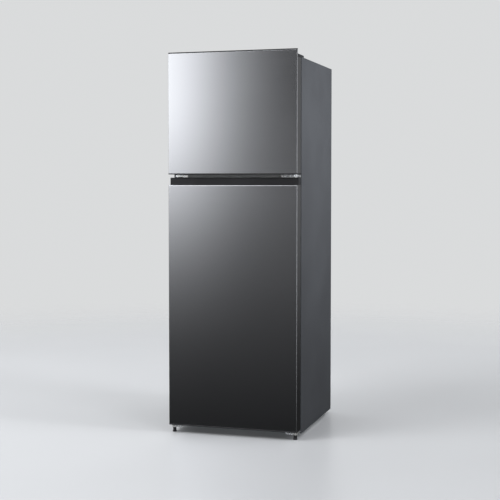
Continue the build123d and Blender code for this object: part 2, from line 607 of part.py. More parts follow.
# ---------------------------------------------------------------- hinges, feet and rollers
def top_hinge():
    """Cranked top hinge plate with its downward pin."""
    z = CABINET_TOP
    points = [(236, 84), (HALF - 6, 84), (HALF - 6, 122), (236, 122)]
    plate = plan_extrude(points, z, z + 3, {1: 4, 2: 6, 3: 6, 0: 6})
    plate += block(PIN_X - 9, PIN_X + 9, PIN_DEPTH, 100, z, z + 3) + post(PIN_X, PIN_DEPTH, z, z + 3, 9)
    plate += post(PIN_X, PIN_DEPTH, FREEZER_SHELF_TOP - 15, z + 1, PIN_R)
    return plate


def top_hinge_cover():
    low, high, right = CABINET_TOP + 0.2, CABINET_TOP + 11, HALF - 3.5
    outer = round_upright(block(226, right, 14.5, 130, low, high), 9)
    outer = fillet(outer.faces().sort_by(Axis.Z)[-1].edges(), 3)
    inner = round_upright(block(228.2, right - 2.2, 16.7, 127.8, low - 1, high - 2.4), 6.8)
    return outer - inner


def middle_hinge():
    """Bracket on the mullion with one pin up and one pin down."""
    low, high = FRIDGE_DOOR_TOP + 5, FRIDGE_DOOR_TOP + 9
    bracket = block(206, 294, FRONT - 3, FRONT, FRIDGE_DOOR_TOP + 1, FREEZER_DOOR_BOTTOM - 1)
    bracket = fillet(bracket.edges().filter_by(Axis.Y), 3)
    arm = [
        (250, FRONT - 2), (PIN_X - 12, 46), (PIN_X - 12, PIN_DEPTH),
        (PIN_X + 12, PIN_DEPTH), (PIN_X + 12, FRONT - 2),
    ]
    bracket += plan_extrude(arm, low, high) + post(PIN_X, PIN_DEPTH, low, high, 12)
    bracket += post(PIN_X, PIN_DEPTH, FRIDGE_DOOR_TOP - 14, FREEZER_DOOR_BOTTOM + 14, PIN_R)
    bracket += post(PIN_X, PIN_DEPTH, high, FREEZER_DOOR_BOTTOM - 0.3, 8)
    return bracket


def foot_bracket(with_pin):
    """Right-hand bottom bracket: screw flange, plate with a folded lip, foot nut and maybe the door pin."""
    low, high = FRIDGE_DOOR_BOTTOM - 8, FRIDGE_DOOR_BOTTOM - 5
    left, right, front = 236.0, PIN_X + 11.5, PIN_DEPTH - 14
    bracket = block(left, right, FRONT - 3, FRONT, CABINET_BOTTOM, high)
    plate = [(left, FRONT - 2), (left, front), (right, front), (right, FRONT - 2)]
    bracket += plan_extrude(plate, low, high, {1: 8, 2: 4})
    bracket += block(left + 8, right - 4, front, front + 2, CABINET_BOTTOM + 5, high)
    if with_pin:
        bracket += post(PIN_X, PIN_DEPTH, high - 1, FRIDGE_DOOR_BOTTOM + 14, PIN_R)
        bracket += post(PIN_X, PIN_DEPTH, high - 1, FRIDGE_DOOR_BOTTOM - 0.3, 8)
    nut_low = CABINET_BOTTOM + 2
    nut = at(FOOT_X, FOOT_DEPTH, nut_low) * extrude(RegularPolygon(9.5, 6), low - nut_low)
    return bracket + nut - post(FOOT_X, FOOT_DEPTH, 0, low, STUD_R)


def screws():
    heads = [screw_front(x, FRONT - 3, FRIDGE_DOOR_TOP + 7) for x in (215, 236)]
    heads += [screw_front(side * x, FRONT - 3, 23.2, 3.8) for side in (-1, 1) for x in (243, 262)]
    heads += [screw_top(x, d, CABINET_TOP + 3) for x, d in ((246, 92), (246, 114), (282, 114))]
    heads += [screw_back(x, BACK_PANEL_DEPTH + 0.5, z) for x in (-262, 0, 262) for z in (34, BAY_TOP - 12)]
    return group(heads)


def blanking_plugs():
    """Covers over the unused hinge holes on the left side."""
    strip = block(-288, -228, FRONT - 3, FRONT, FRIDGE_DOOR_TOP + 2, FREEZER_DOOR_BOTTOM - 2)
    strip = fillet(strip.edges().filter_by(Axis.Y), 4)
    buttons = [fillet(post(x, d, CABINET_TOP, CABINET_TOP + 2, 6).edges().sort_by(Axis.Z)[-1], 1.2)
               for x, d in ((-246, 92), (-246, 114), (-282, 114))]
    return group([strip, *buttons])


def levelling_foot(x):
    """Moulded foot on a threaded stud."""
    base = post(x, FOOT_DEPTH, 0, 6, FOOT_R)
    base = chamfer(base.edges().sort_by(Axis.Z)[-1], 1.5)
    shank_low, shank_top = 5.5, CABINET_BOTTOM + 1.5
    shank = at(x, FOOT_DEPTH, shank_low) * extrude(RegularPolygon(8, 6), shank_top - shank_low)
    stud = post(x, FOOT_DEPTH, shank_top - 1, FRIDGE_DOOR_BOTTOM - 8.5, STUD_R - RUNNING)
    return base + shank + chamfer(stud.edges().sort_by(Axis.Z)[-1], 1)


def roller(side):
    x = side * ROLLER_X
    wheel = axle(ROLLER_DEPTH, ROLLER_R, x - 11.5, x + 11.5, ROLLER_R)
    wheel = fillet(wheel.edges(), 2)
    return wheel - axle(ROLLER_DEPTH, ROLLER_R, x - 13, x + 13, 3 + RUNNING)


def roller_brackets():
    """Cheeks and axles of the rear rollers."""
    parts = []
    for side in (-1, 1):
        x = side * ROLLER_X
        bracket = axle(ROLLER_DEPTH, ROLLER_R, x - 14.5, x + 14.5, 3)
        for cheek in (x - 14, x + 14):
            bracket += block(cheek - 1, cheek + 1, ROLLER_DEPTH - 14, ROLLER_DEPTH + 14, 8, 34)
        parts.append(bracket)
    return group(parts)


# ---------------------------------------------------------------- doors
def door_skin(low, high):
    """Folded steel front with side returns and inward rear flanges."""
    d1, s, flange = DOOR_DEPTH - LINER, SHEET, 9
    outer, fold = DOOR_CORNER, DOOR_CORNER - SHEET
    points = [
        (-HALF, 0), (HALF, 0), (HALF, d1), (HALF - flange, d1), (HALF - flange, d1 - s), (HALF - s, d1 - s),
        (HALF - s, s), (-HALF + s, s), (-HALF + s, d1 - s), (-HALF + flange, d1 - s),
        (-HALF + flange, d1), (-HALF, d1),
    ]
    return plan_extrude(points, low, high, {0: outer, 1: outer, 6: fold, 7: fold})


def freezer_door_skin():
    skin = door_skin(FREEZER_DOOR_BOTTOM + CAP, FREEZER_DOOR_TOP - TOP_EDGE)
    return skin - block(-HALF - 1, HALF + 1, LIP, DOOR_DEPTH, FREEZER_SHELF_TOP - CAP, FREEZER_DOOR_TOP)


def rounded_front(shape, radius):
    """Rounds a block's two upright front edges and its upper front edge."""
    front = shape.edges().group_by(Axis.Y)[0]
    return fillet(front.filter_by(Axis.Z) + front.filter_by(Axis.X).group_by(Axis.Z)[-1], radius)


def fridge_door_skin():
    """The same, with the face's upper edge rolled back over the grip's front wall."""
    low, top = FRIDGE_DOOR_BOTTOM + CAP, FRIDGE_FACE_TOP
    roll = rounded_front(block(-HALF, HALF, 0, DOOR_DEPTH, top - 20, top), DOOR_CORNER)
    room = block(-HALF + SHEET, HALF - SHEET, SHEET, DOOR_DEPTH + 1, top - 30, top - SHEET)
    roll -= rounded_front(room, DOOR_CORNER - SHEET)
    roll -= block(-HALF - 1, HALF + 1, GRIP_FRONT, DOOR_DEPTH + 1, top - 30, top + 1)
    rest = door_skin(low, top) - block(-HALF - 1, HALF + 1, -1, GRIP_FRONT, top - 20, top + 1)
    return rest + roll


def door_plate(low, high, front=0.0, back=DOOR_DEPTH):
    """Outside part of an end cap, following the skin's rounded front corners."""
    plate = block(-HALF, HALF, front, back, low, high)
    front_edges = plate.edges().filter_by(Axis.Z).group_by(Axis.Y)[0]
    return fillet(front_edges, DOOR_CORNER)


def freezer_top_cap():
    """Black top cap: an edge strip over the face, a thin lip behind it and a lower shelf for the hinge."""
    shelf = FREEZER_SHELF_TOP
    inner = HALF - SHEET
    cap = door_plate(FREEZER_DOOR_TOP - TOP_EDGE, FREEZER_DOOR_TOP, 0, LIP)
    behind = block(-inner, inner, SHEET, LIP, shelf - CAP - 4, FREEZER_DOOR_TOP - TOP_EDGE)
    cap += fillet(behind.edges().filter_by(Axis.Z).group_by(Axis.Y)[0], DOOR_CORNER - SHEET)
    cap += block(-HALF, HALF, LIP, DOOR_DEPTH, shelf - CAP, shelf)
    cap += post(PIN_X, PIN_DEPTH, shelf - 20, shelf - CAP + 1, BOSS_R)
    return cap - post(PIN_X, PIN_DEPTH, shelf - 16, shelf + 1, PIN_R + RUNNING)


def freezer_bottom_cap():
    """Bottom cap with the finger groove that opens the freezer door."""
    low = FREEZER_DOOR_BOTTOM
    inner = HALF - SHEET
    x0, x1, d0, d1, height = FREEZER_GRIP
    cap = door_plate(low, low + CAP)
    cap += block(x0 - 3, x1 + 3, d0 - 3, d1 + 3, low + CAP - 1, low + height + 3)
    groove = block(x0, x1, d0, d1, low - 1, low + height)
    cap -= fillet(groove.edges().filter_by(Axis.X).group_by(Axis.Z)[-1], 6)
    cap += post(PIN_X, PIN_DEPTH, low + CAP - 1, low + 19, BOSS_R)
    cap += block(-inner + 4, inner - 4, SHEET + 0.2, SHEET + 3, low + CAP - 1, low + CAP + 8)
    return cap - post(PIN_X, PIN_DEPTH, low - 1, low + 15, PIN_R + RUNNING)


def fridge_top_cap():
    """Black top cap with the recessed grip behind the upper edge of the face."""
    face_top, top = FRIDGE_FACE_TOP, FRIDGE_DOOR_TOP
    inner, back = HALF - SHEET, DOOR_DEPTH - LINER - SHEET
    lower = [
        (SHEET, GRIP_LOW - 3), (GRIP_BACK + 3, GRIP_LOW - 3),
        (GRIP_BACK + 3, top - 3), (DOOR_DEPTH - 3, top - 3),
        (DOOR_DEPTH - 3, face_top), (DOOR_DEPTH, face_top), (DOOR_DEPTH, top), (GRIP_BACK, top),
        (GRIP_BACK, GRIP_LOW), (GRIP_FRONT, GRIP_LOW), (GRIP_FRONT, face_top - 1), (SHEET, face_top - 1),
    ]
    room = block(-inner, inner, SHEET, DOOR_DEPTH, 0, top)  # inside of the skin, with its front folds
    room = fillet(room.edges().filter_by(Axis.Z).group_by(Axis.Y)[0], DOOR_CORNER - SHEET)
    corners = {2: 3, 6: 1.5, 7: 5, 8: 9, 9: 4, 10: 0.4, 11: DOOR_CORNER - SHEET}
    cap = room & side_extrude(lower, -inner, inner, corners)
    for side in (-1, 1):  # end walls
        cap += block(side * (inner - 3), side * inner, GRIP_BACK + 1, back, GRIP_LOW - 3, face_top)
        cap += block(side * (HALF - 4), side * (HALF - 0.5), GRIP_BACK + 6, DOOR_DEPTH, face_top, top - 6)
        cap += block(side * (inner - 3), side * inner, SHEET + 3, GRIP_BACK + 2, GRIP_LOW - 3, face_top)
        cap += block(side * (inner - 3), side * inner, GRIP_BACK + 1, back, face_top - 1, top - 2)
    boss = post(PIN_X, PIN_DEPTH + 4, top - 20, top - 1, 10)
    cap += boss & block(0, inner, GRIP_BACK + 1, DOOR_DEPTH, 0, top)
    return cap - post(PIN_X, PIN_DEPTH, top - 15, top + 1, PIN_R + RUNNING) - fridge_door_skin()


def fridge_bottom_cap():
    low, inner = FRIDGE_DOOR_BOTTOM, HALF - SHEET
    cap = door_plate(low, low + CAP)
    cap += block(-inner + 4, inner - 4, SHEET + 0.2, SHEET + 3, low + CAP - 1, low + CAP + 8)
    cap += post(PIN_X, PIN_DEPTH, low + CAP - 1, low + 19, BOSS_R)
    return cap - post(PIN_X, PIN_DEPTH, low - 1, low + 15, PIN_R + RUNNING)


def dyke(dyke_x, dyke_z, grow):
    """Raised centre of a door liner; grow shrinks it to the foam's shape."""
    low, high = dyke_z
    g = grow
    centre = block(-dyke_x + g, dyke_x - g, DOOR_DEPTH - 20, DYKE_DEPTH - g, low + g, high - g)
    return round_all(centre, 8 - g) - block(-HALF, HALF, 0, DOOR_DEPTH - LINER, 0, FREEZER_DOOR_TOP)


def bin_rib(dyke_x, dyke_z, rib_low, bins):
    """Right-hand hollow rib on the raised centre, with a ledge under each bin."""
    inside, outside, high = dyke_x - RIB, dyke_x, dyke_z[1]
    rib = block(inside, outside, DOOR_DEPTH, RIB_DEPTH, rib_low, high)
    rib = fillet(rib.edges().filter_by(Axis.X).group_by(Axis.Y)[-1], 24)
    w = LINER
    room = block(inside + w, outside - w, DOOR_DEPTH - 1, RIB_DEPTH - w, rib_low + w, high - w)
    rib -= fillet(room.edges().filter_by(Axis.X).group_by(Axis.Y)[-1], 24 - w)
    for z, _ in bins.values():
        rib += block(inside - 7, inside + 1, DYKE_DEPTH + 12, RIB_DEPTH - 22, z - 9, z)
    return rib - dyke(dyke_x, dyke_z, 0)


def door_liner(low, high, dyke_x, dyke_z, rib_low, bins):
    """Inner door panel with a raised centre, and the two bin ribs fixed to it."""
    edge = HALF - LINER_INSET
    panel = block(-edge, edge, DOOR_DEPTH - LINER, DOOR_DEPTH, low, high)
    panel = fillet(panel.edges().filter_by(Axis.Y), 2)
    panel += dyke(dyke_x, dyke_z, 0)
    panel -= dyke(dyke_x, dyke_z, LINER)
    rib = bin_rib(dyke_x, dyke_z, rib_low, bins)
    return group([panel, rib, mirrored(rib)])


def freezer_door_liner():
    return door_liner(FREEZER_DOOR_BOTTOM + CAP, FREEZER_SHELF_TOP - CAP, FREEZER_DYKE_X, FREEZER_DYKE_Z,
                      FREEZER_DYKE_Z[0] + 4, FREEZER_BINS)


def fridge_door_liner():
    return door_liner(FRIDGE_DOOR_BOTTOM + CAP, FRIDGE_FACE_TOP, FRIDGE_DYKE_X, FRIDGE_DYKE_Z,
                      FRIDGE_RIB_LOW, FRIDGE_BINS)


def freezer_door_foam():
    inner, back = HALF - SHEET - 0.5, DOOR_DEPTH - LINER - SHEET
    low, high = FREEZER_DOOR_BOTTOM + CAP, FREEZER_SHELF_TOP - CAP
    foam = block(-inner, inner, SHEET + 3, back, low + 8, high - 0.5)
    foam += dyke(FREEZER_DYKE_X, FREEZER_DYKE_Z, LINER)
    foam += block(-FREEZER_DYKE_X, FREEZER_DYKE_X, back - 1, DOOR_DEPTH - LINER, *FREEZER_DYKE_Z)
    x0, x1, d0, d1, height = FREEZER_GRIP
    foam -= block(x0 - 3, x1 + 3, d0 - 3, d1 + 3, 1000, FREEZER_DOOR_BOTTOM + height + 3)
    for z0, z1 in ((0, low + 15), (FREEZER_SHELF_TOP - 20, DEPTH * 3)):  # hinge bosses
        foam -= post(PIN_X, PIN_DEPTH, z0, z1, BOSS_R)
    return foam - block(-inner, inner, 0, LIP, high - 4, high)


def fridge_door_foam():
    inner, back = HALF - SHEET - 3.5, DOOR_DEPTH - LINER - SHEET
    foam = block(-inner, inner, SHEET + 3, back, FRIDGE_DOOR_BOTTOM + CAP + 8, GRIP_LOW - 3.5)
    foam += block(-inner, inner, GRIP_BACK + 6, back - 0.5, GRIP_LOW - 4, FRIDGE_DOOR_TOP - 22)
    foam += dyke(FRIDGE_DYKE_X, FRIDGE_DYKE_Z, LINER)
    foam += block(-FRIDGE_DYKE_X, FRIDGE_DYKE_X, back - 1, DOOR_DEPTH - LINER, *FRIDGE_DYKE_Z)
    return foam - post(PIN_X, PIN_DEPTH, 0, FRIDGE_DOOR_BOTTOM + 19, BOSS_R)


def gasket(low, high):
    """Magnetic door seal: a soft ring with a groove round its waist."""
    outer_x, width = HALF - 20, 16.0
    d0, d1 = DOOR_DEPTH, FRONT - 0.5
    ring = round_y(block(-outer_x, outer_x, d0, d1, low, high), 12)
    ring -= round_y(block(-outer_x + width, outer_x - width, d0 - 1, d1 + 1, low + width, high - width), 4)
    waist = round_y(block(-outer_x - 1, outer_x + 1, d0 + 4, d0 + 6.5, low - 1, high + 1), 13)
    waist -= round_y(block(-outer_x + 3, outer_x - 3, d0 + 3, d0 + 8, low + 3, high - 3), 9)
    return ring - waist


def round_y(shape, radius):
    return fillet(shape.edges().filter_by(Axis.Y), radius)


def door_bin(half, z, height):
    """Clear door shelf with a raised front rail."""
    wall = 2.5
    tray = tub(-half, half, BIN_BACK, BIN_FRONT, z, z + height, wall, 12)
    tray -= block(-half + 12, half - 12, BIN_BACK + wall, BIN_FRONT + 1, z + height * 0.62, z + height * 0.8)
    lip = block(-half + 12, half - 12, BIN_FRONT - wall, BIN_FRONT + 1.5, z + height * 0.8, z + height)
    return tray + fillet(lip.edges().filter_by(Axis.X).group_by(Axis.Y)[-1], 1)


def door_bins(dyke_x, bins):
    return group([door_bin(dyke_x - RIB - 2, z, height) for z, height in bins.values()])


# ---------------------------------------------------------------- write every node
def nodes():
    right = side_panel()
    hinge_side_bracket = foot_bracket(True)
    made = {
        "side_panel_right": right,
        "side_panel_left": mirrored(right),
        "top_panel": top_panel(),
        "back_panel": back_panel(),
        "base_pan": base_pan(),
        "front_rail": front_rail(),
        "compressor_tray": compressor_tray(),
        "mullion": mullion(),
        "cabinet_foam": cabinet_foam(),
        "fridge_liner": fridge_liner(),
        "freezer_liner": freezer_liner(),
        "condenser_tubes": condenser_tubes(),
        "evaporator": evaporator(),
        "evaporator_cover": evaporator_cover(),
        "damper_slider": damper_slider(),
        "fan_motor": fan_motor(),
        "fan_blade": fan_blade(),
        "defrost_heater": defrost_heater(),
        "compressor": compressor(),
        "compressor_grommets": compressor_grommets(),
        "relay_box": relay_box(),
        "refrigerant_tubes": refrigerant_tubes(),
        "drip_pan": drip_pan(),
        "drain_tube": drain_tube(),
        "compressor_cover": compressor_cover(),
        "cord_gland": cord_gland(),
        "glass_shelves": glass_shelves(),
        "freezer_shelf": freezer_shelf(),
        "shelf_trims": shelf_trims(),
        "crisper_drawer": crisper_drawer(),
        "air_duct_cover": air_duct_cover(),
        "control_housing": control_housing(),
        "lamp_cover": lamp_cover(),
        "thermostat_knob": thermostat_knob(),
        "top_hinge": top_hinge(),
        "top_hinge_cover": top_hinge_cover(),
        "middle_hinge": middle_hinge(),
        "bottom_hinge": hinge_side_bracket,
        "left_foot_bracket": mirrored(foot_bracket(False)),
        "screws": screws(),
        "blanking_plugs": blanking_plugs(),
        "front_left_foot": levelling_foot(-FOOT_X),
        "front_right_foot": levelling_foot(FOOT_X),
        "rear_left_roller": roller(-1),
        "rear_right_roller": roller(1),
        "roller_brackets": roller_brackets(),
        "freezer_door_skin": freezer_door_skin(),
        "freezer_door_top_cap": freezer_top_cap(),
        "freezer_door_bottom_cap": freezer_bottom_cap(),
        "freezer_door_foam": freezer_door_foam(),
        "freezer_door_liner": freezer_door_liner(),
        "freezer_door_gasket": gasket(FREEZER_DOOR_BOTTOM + 5, FREEZER_SHELF_TOP - 18),
        "fridge_door_skin": fridge_door_skin(),
        "fridge_door_top_cap": fridge_top_cap(),
        "fridge_door_bottom_cap": fridge_bottom_cap(),
        "fridge_door_foam": fridge_door_foam(),
        "fridge_door_liner": fridge_door_liner(),
        "fridge_door_gasket": gasket(FRIDGE_DOOR_BOTTOM + 18, FRIDGE_DOOR_TOP - 3),
        "freezer_door_bins": door_bins(FREEZER_DYKE_X, FREEZER_BINS),
        "fridge_door_bins": door_bins(FRIDGE_DYKE_X, FRIDGE_BINS),
    }
    return made


os.makedirs("parts", exist_ok=True)
for node, shape in nodes().items():
    export_step(shape, f"parts/{node}.step")
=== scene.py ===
"""Looks of the top freezer refrigerator: materials, soft seals, studio and camera.

The CAD nodes keep their places and shapes. This script gives each one a finish, replaces the door seals
with folded soft ones, and sets up the light and the camera. Lengths are metres, in the frame of the CAD
model: +Z up, -Y the door side, +X the hinge side.
"""

import json
import math

import bmesh
import bpy
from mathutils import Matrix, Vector


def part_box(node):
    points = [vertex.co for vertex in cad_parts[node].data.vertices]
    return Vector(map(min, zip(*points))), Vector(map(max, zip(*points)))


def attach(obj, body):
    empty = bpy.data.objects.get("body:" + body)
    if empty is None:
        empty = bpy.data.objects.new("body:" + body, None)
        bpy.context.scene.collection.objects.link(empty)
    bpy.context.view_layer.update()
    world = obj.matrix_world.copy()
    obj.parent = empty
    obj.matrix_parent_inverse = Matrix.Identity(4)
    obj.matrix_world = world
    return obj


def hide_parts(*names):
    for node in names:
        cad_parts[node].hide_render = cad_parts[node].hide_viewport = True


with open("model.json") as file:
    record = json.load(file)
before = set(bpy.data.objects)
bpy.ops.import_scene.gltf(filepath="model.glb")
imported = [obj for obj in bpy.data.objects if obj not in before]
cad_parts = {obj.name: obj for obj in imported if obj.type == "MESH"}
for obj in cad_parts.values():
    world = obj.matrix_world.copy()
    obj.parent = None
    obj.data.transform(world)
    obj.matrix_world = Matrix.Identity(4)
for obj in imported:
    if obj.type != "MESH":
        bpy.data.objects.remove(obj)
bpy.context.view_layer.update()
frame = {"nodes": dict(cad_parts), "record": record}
MM = 0.001


# ---------------------------------------------------------------- node helpers
EDGE_NONE, EDGE_FULL = 0.985, 0.86  # cosine between the rounded and the flat normal, off an edge and on it


class Nodes:
    """Short calls for building one material's or the world's node tree."""

    def __init__(self, tree):
        self.tree = tree
        tree.nodes.clear()

    def add(self, kind, **settings):
        node = self.tree.nodes.new(kind)
        for key, value in settings.items():
            setattr(node, key, value)
        return node

    def put(self, socket, value):
        """Links an output to a socket, or sets the socket's own value."""
        if isinstance(value, bpy.types.NodeSocket):
            self.tree.links.new(value, socket)
        else:
            socket.default_value = value

    def math(self, operation, *values, clamp=False):
        node = self.add("ShaderNodeMath", operation=operation, use_clamp=clamp)
        for socket, value in zip(node.inputs, values):
            self.put(socket, value)
        return node.outputs[0]

    def space(self, scale=(1, 1, 1)):
        """Object coordinates, stretched."""
        mapping = self.add("ShaderNodeMapping")
        mapping.inputs["Scale"].default_value = scale
        self.put(mapping.inputs["Vector"], self.add("ShaderNodeTexCoord").outputs["Object"])
        return mapping.outputs[0]

    def noise(self, vector, scale, detail=3.0, roughness=0.5):
        node = self.add("ShaderNodeTexNoise")
        node.inputs["Scale"].default_value = scale
        node.inputs["Detail"].default_value = detail
        node.inputs["Roughness"].default_value = roughness
        self.put(node.inputs["Vector"], vector)
        return node.outputs[0]

    def cells(self, vector, scale):
        node = self.add("ShaderNodeTexVoronoi")
        node.inputs["Scale"].default_value = scale
        self.put(node.inputs["Vector"], vector)
        return node.outputs["Distance"]

    def span(self, value, low, high, to_low=0.0, to_high=1.0):
        """Remaps low..high to to_low..to_high, smoothly and clamped."""
        node = self.add("ShaderNodeMapRange", interpolation_type="SMOOTHSTEP")
        for name, v in (("Value", value), ("From Min", low), ("From Max", high),
                        ("To Min", to_low), ("To Max", to_high)):
            self.put(node.inputs[name], v)
        return node.outputs[0]

    def blend(self, factor, a, b):
        node = self.add("ShaderNodeMix", data_type="RGBA")
        self.put(node.inputs["Factor"], factor)
        colours = [s for s in node.inputs if s.type == "RGBA"]
        self.put(colours[0], a)
        self.put(colours[1], b)
        return next(s for s in node.outputs if s.type == "RGBA")

    def bump(self, height, strength, distance, normal=None):
        node = self.add("ShaderNodeBump")
        node.inputs["Strength"].default_value = strength
        node.inputs["Distance"].default_value = distance
        self.put(node.inputs["Height"], height)
        if normal is not None:
            self.put(node.inputs["Normal"], normal)
        return node.outputs[0]

    def edges(self, radius):
        """1 along sharp edges and 0 elsewhere, with the rounded normal as a second output. Several materials
        lighten their colour by this mask as a painted highlight.
        """
        bevel = self.add("ShaderNodeBevel", samples=4)
        bevel.inputs["Radius"].default_value = radius
        product = self.add("ShaderNodeVectorMath", operation="DOT_PRODUCT")
        self.put(product.inputs[0], bevel.outputs[0])
        self.put(product.inputs[1], self.add("ShaderNodeNewGeometry").outputs["Normal"])
        return self.span(product.outputs["Value"], EDGE_NONE, EDGE_FULL), bevel.outputs[0]


def rgb(r, g, b):
    return (r, g, b, 1.0)


def material(name, **uniform):
    """A Principled material with its node builder and the shader's sockets, which makers call n and s.

    Uniform values go straight on the shader's own sockets.
    """
    made = bpy.data.materials.new(name)
    made.use_nodes = True
    n = Nodes(made.node_tree)
    shader = n.add("ShaderNodeBsdfPrincipled")
    n.put(n.add("ShaderNodeOutputMaterial").inputs["Surface"], shader.outputs[0])
    for key, value in uniform.items():
        shader.inputs[key.replace("_", " ").title().replace("Ior", "IOR")].default_value = value
    return made, n, shader.inputs


# ---------------------------------------------------------------- materials
def brushed_door_steel():
    """Dark stainless with grain along the width, under a thin clear lacquer."""
    made, n, s = material("brushed_door_steel", metallic=1.0, anisotropic=0.3, coat_weight=0.05,
                          coat_roughness=0.1)
    fine = n.noise(n.space((1.5, 1.5, 900)), 1.6, 4, 0.6)
    broad = n.noise(n.space((0.4, 0.4, 60)), 1.3, 3)
    hazy = n.noise(n.space(), 3.1, 2)
    grain = n.math("ADD", n.math("MULTIPLY", fine, 0.8), n.math("MULTIPLY", broad, 0.2))
    edge, rounded = n.edges(2.2 * MM)
    colour = n.blend(n.span(grain, 0.3, 0.7), rgb(0.292, 0.295, 0.308), rgb(0.306, 0.309, 0.322))
    # Painted highlight: the base colour is lightened along sharp edges.
    n.put(s["Base Color"], n.blend(n.math("MULTIPLY", edge, 0.35), colour, rgb(0.5, 0.505, 0.52)))
    rough = n.math("MULTIPLY_ADD", grain, 0.05, 0.085)
    n.put(s["Roughness"], n.math("MULTIPLY_ADD", hazy, 0.02, rough))
    tangent = n.add("ShaderNodeTangent", direction_type="RADIAL", axis="Z")
    n.put(s["Tangent"], tangent.outputs[0])
    n.put(s["Normal"], n.bump(fine, 0.012, 0.1 * MM, rounded))
    return made


def textured_paint(name, dark, light, roughness=0.40):
    """Sheet paint with the fine embossed grain of appliance side panels."""
    made, n, s = material(name, specular_ior_level=0.25)
    grain = n.cells(n.space(), 620)
    ripple = n.noise(n.space(), 210, 3)
    patch = n.noise(n.space(), 4.0, 3)
    edge, rounded = n.edges(1.0 * MM)
    colour = n.blend(n.span(patch, 0.3, 0.7), dark, light)
    # Painted highlight: the paint's colour is lightened along sharp edges.
    painted_edge_highlight = tuple(min(1.0, c * 2.6) for c in light[:3])
    n.put(s["Base Color"], n.blend(n.math("MULTIPLY", edge, 0.45), colour, rgb(*painted_edge_highlight)))
    n.put(s["Roughness"], n.math("MULTIPLY_ADD", grain, 0.12, roughness - 0.04))
    height = n.math("MULTIPLY_ADD", ripple, 0.5, grain)
    n.put(s["Normal"], n.bump(height, 0.16, 0.25 * MM, rounded))
    return made


def moulded_plastic(name, dark, light, roughness=0.42, grain_scale=1500, strength=0.12, gloss=0.5):
    """Spark-textured moulding with slightly polished edges, and a painted highlight along them."""
    made, n, s = material(name, specular_ior_level=gloss)
    grain = n.noise(n.space(), grain_scale, 4, 0.6)
    patch = n.noise(n.space(), 9.0, 3)
    edge, rounded = n.edges(0.7 * MM)
    colour = n.blend(n.span(patch, 0.3, 0.7), dark, light)
    # Painted highlight: the colour is lightened along sharp edges.
    painted_edge_tint = tuple(c + (1 - c) * 0.09 for c in light[:3])
    n.put(s["Base Color"], n.blend(n.math("MULTIPLY", edge, 0.5), colour, rgb(*painted_edge_tint)))
    polished = n.math("MULTIPLY", edge, -0.12)
    rough = n.math("MULTIPLY_ADD", grain, 0.12, roughness - 0.06)
    n.put(s["Roughness"], n.math("ADD", rough, polished, clamp=True))
    n.put(s["Normal"], n.bump(grain, strength, 0.12 * MM, rounded))
    return made


def liner_plastic(name, tint):
    """Glossy vacuum-formed sheet: faint orange peel and soft mottling."""
    made, n, s = material(name, subsurface_weight=0.04, subsurface_radius=(0.004, 0.004, 0.003),
                          coat_weight=0.12, coat_roughness=0.18)
    peel = n.noise(n.space(), 130, 3)
    patch = n.noise(n.space(), 5.0, 3)
    shade = rgb(*(c * 0.965 for c in tint[:3]))
    n.put(s["Base Color"], n.blend(n.span(patch, 0.3, 0.7), shade, tint))
    n.put(s["Roughness"], n.math("MULTIPLY_ADD", peel, 0.10, 0.24))
    _, rounded = n.edges(1.2 * MM)
    n.put(s["Normal"], n.bump(peel, 0.05, 0.5 * MM, rounded))
    return made


def clear_moulding(name, tint, roughness, transmission=0.9):
    """Clear injection-moulded plastic, slightly blue, with faint flow marks."""
    made, n, s = material(name, transmission_weight=transmission, ior=1.49)
    flow = n.noise(n.space((4, 4, 40)), 6, 3)
    n.put(s["Base Color"], n.blend(n.span(flow, 0.3, 0.7), rgb(*(c * 0.97 for c in tint[:3])), tint))
    n.put(s["Roughness"], n.math("MULTIPLY_ADD", flow, 0.06, roughness))
    n.put(s["Normal"], n.bump(flow, 0.03, 0.4 * MM))
    return made


def float_glass():
    """Toughened shelf glass: faint green tint and a trace of roller wave."""
    made, n, s = material("shelf_glass", transmission_weight=0.94, ior=1.52)
    wave = n.noise(n.space((1, 14, 1)), 5, 2)
    dust = n.noise(n.space(), 90, 4)
    n.put(s["Base Color"], n.blend(n.span(wave, 0.3, 0.7), rgb(0.80, 0.92, 0.885), rgb(0.84, 0.945, 0.915)))
    n.put(s["Roughness"], n.span(dust, 0.45, 0.8, 0.015, 0.08))
    n.put(s["Normal"], n.bump(wave, 0.02, 1.0 * MM))
    return made


def galvanised():
    """Zinc spangle on sheet steel."""
    made, n, s = material("galvanised_sheet", metallic=0.9)
    spangle = n.add("ShaderNodeTexVoronoi", feature="F1")
    spangle.inputs["Scale"].default_value = 150
    warp = n.noise(n.space(), 40, 2)
    n.put(spangle.inputs["Vector"], n.space((1, 1, 0.7)))
    tone = n.add("ShaderNodeSeparateColor")
    n.put(tone.inputs[0], spangle.outputs["Color"])
    value = n.math("ADD", n.math("MULTIPLY", tone.outputs[0], 0.7), n.math("MULTIPLY", warp, 0.3))
    edge, rounded = n.edges(0.8 * MM)
    colour = n.blend(value, rgb(0.46, 0.475, 0.49), rgb(0.57, 0.585, 0.60))
    # Painted highlight: the zinc's colour is lightened along sharp edges.
    n.put(s["Base Color"], n.blend(n.math("MULTIPLY", edge, 0.5), colour, rgb(0.66, 0.67, 0.68)))
    n.put(s["Roughness"], n.math("MULTIPLY_ADD", value, 0.22, 0.36))
    n.put(s["Normal"], n.bump(value, 0.04, 0.2 * MM, rounded))
    return made


